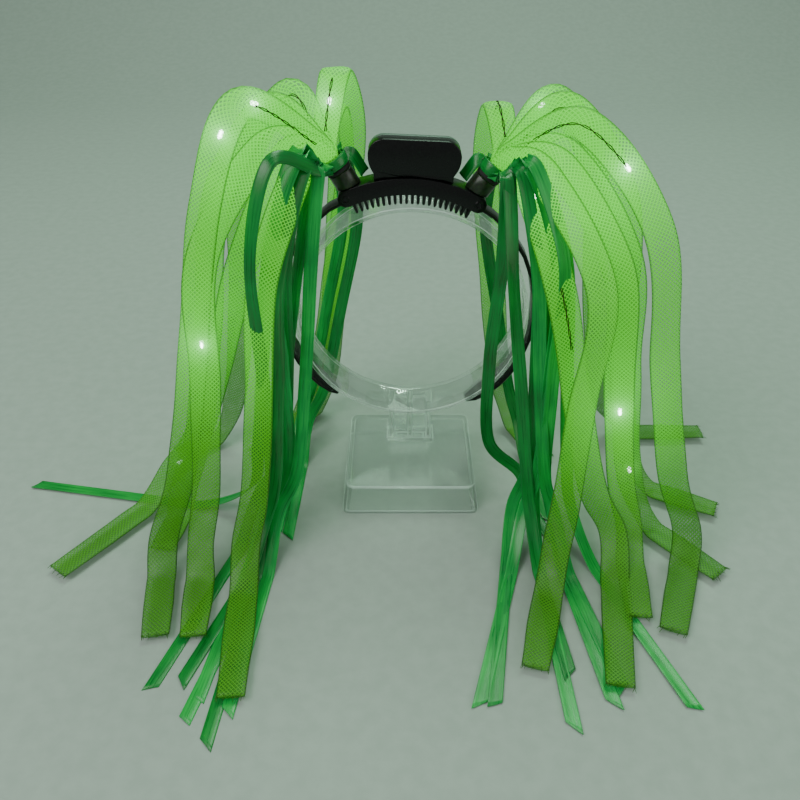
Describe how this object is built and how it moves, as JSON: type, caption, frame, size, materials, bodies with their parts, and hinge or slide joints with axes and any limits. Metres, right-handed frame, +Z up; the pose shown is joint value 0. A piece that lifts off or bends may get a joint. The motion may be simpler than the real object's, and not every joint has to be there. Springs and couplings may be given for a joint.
{
  "type": "light-up noodle headband on a clear display stand",
  "caption": "Black sprung headband with a comb bridge, battery box and two tassels of lit green mesh tubes and satin ribbons, resting on a plain clear ring stand.",
  "frame": {"origin": "middle of the whole part's outline, on the floor", "axes": "+Z up, the foot's front and the longest strand ends face -Y, +X is the viewer's right"},
  "size_m": [0.4302, 0.2616, 0.242],
  "materials": {
    "clear_plastic": "clear, polished",
    "black_plastic": "moulded, half gloss",
    "cover_plastic": "moulded, half gloss",
    "olive_plastic": "moulded, half clear",
    "black_band": "matt",
    "lime_mesh": "open woven tube, lit in spots",
    "green_satin": "satin"
  },
  "bodies": {
    "root": {"stand_base": "clear_plastic", "stand_ring": "clear_plastic", "headband": "black_plastic", "comb_bridge": "black_plastic", "battery_case": "black_plastic", "battery_cover": "cover_plastic", "sleeve_left": "olive_plastic", "sleeve_right": "olive_plastic", "neck_band_left": "black_band", "neck_band_right": "black_band", "noodles_left": "lime_mesh", "noodles_right": "lime_mesh", "ribbons_left": "green_satin", "ribbons_right": "green_satin"}
  },
  "joints": []
}
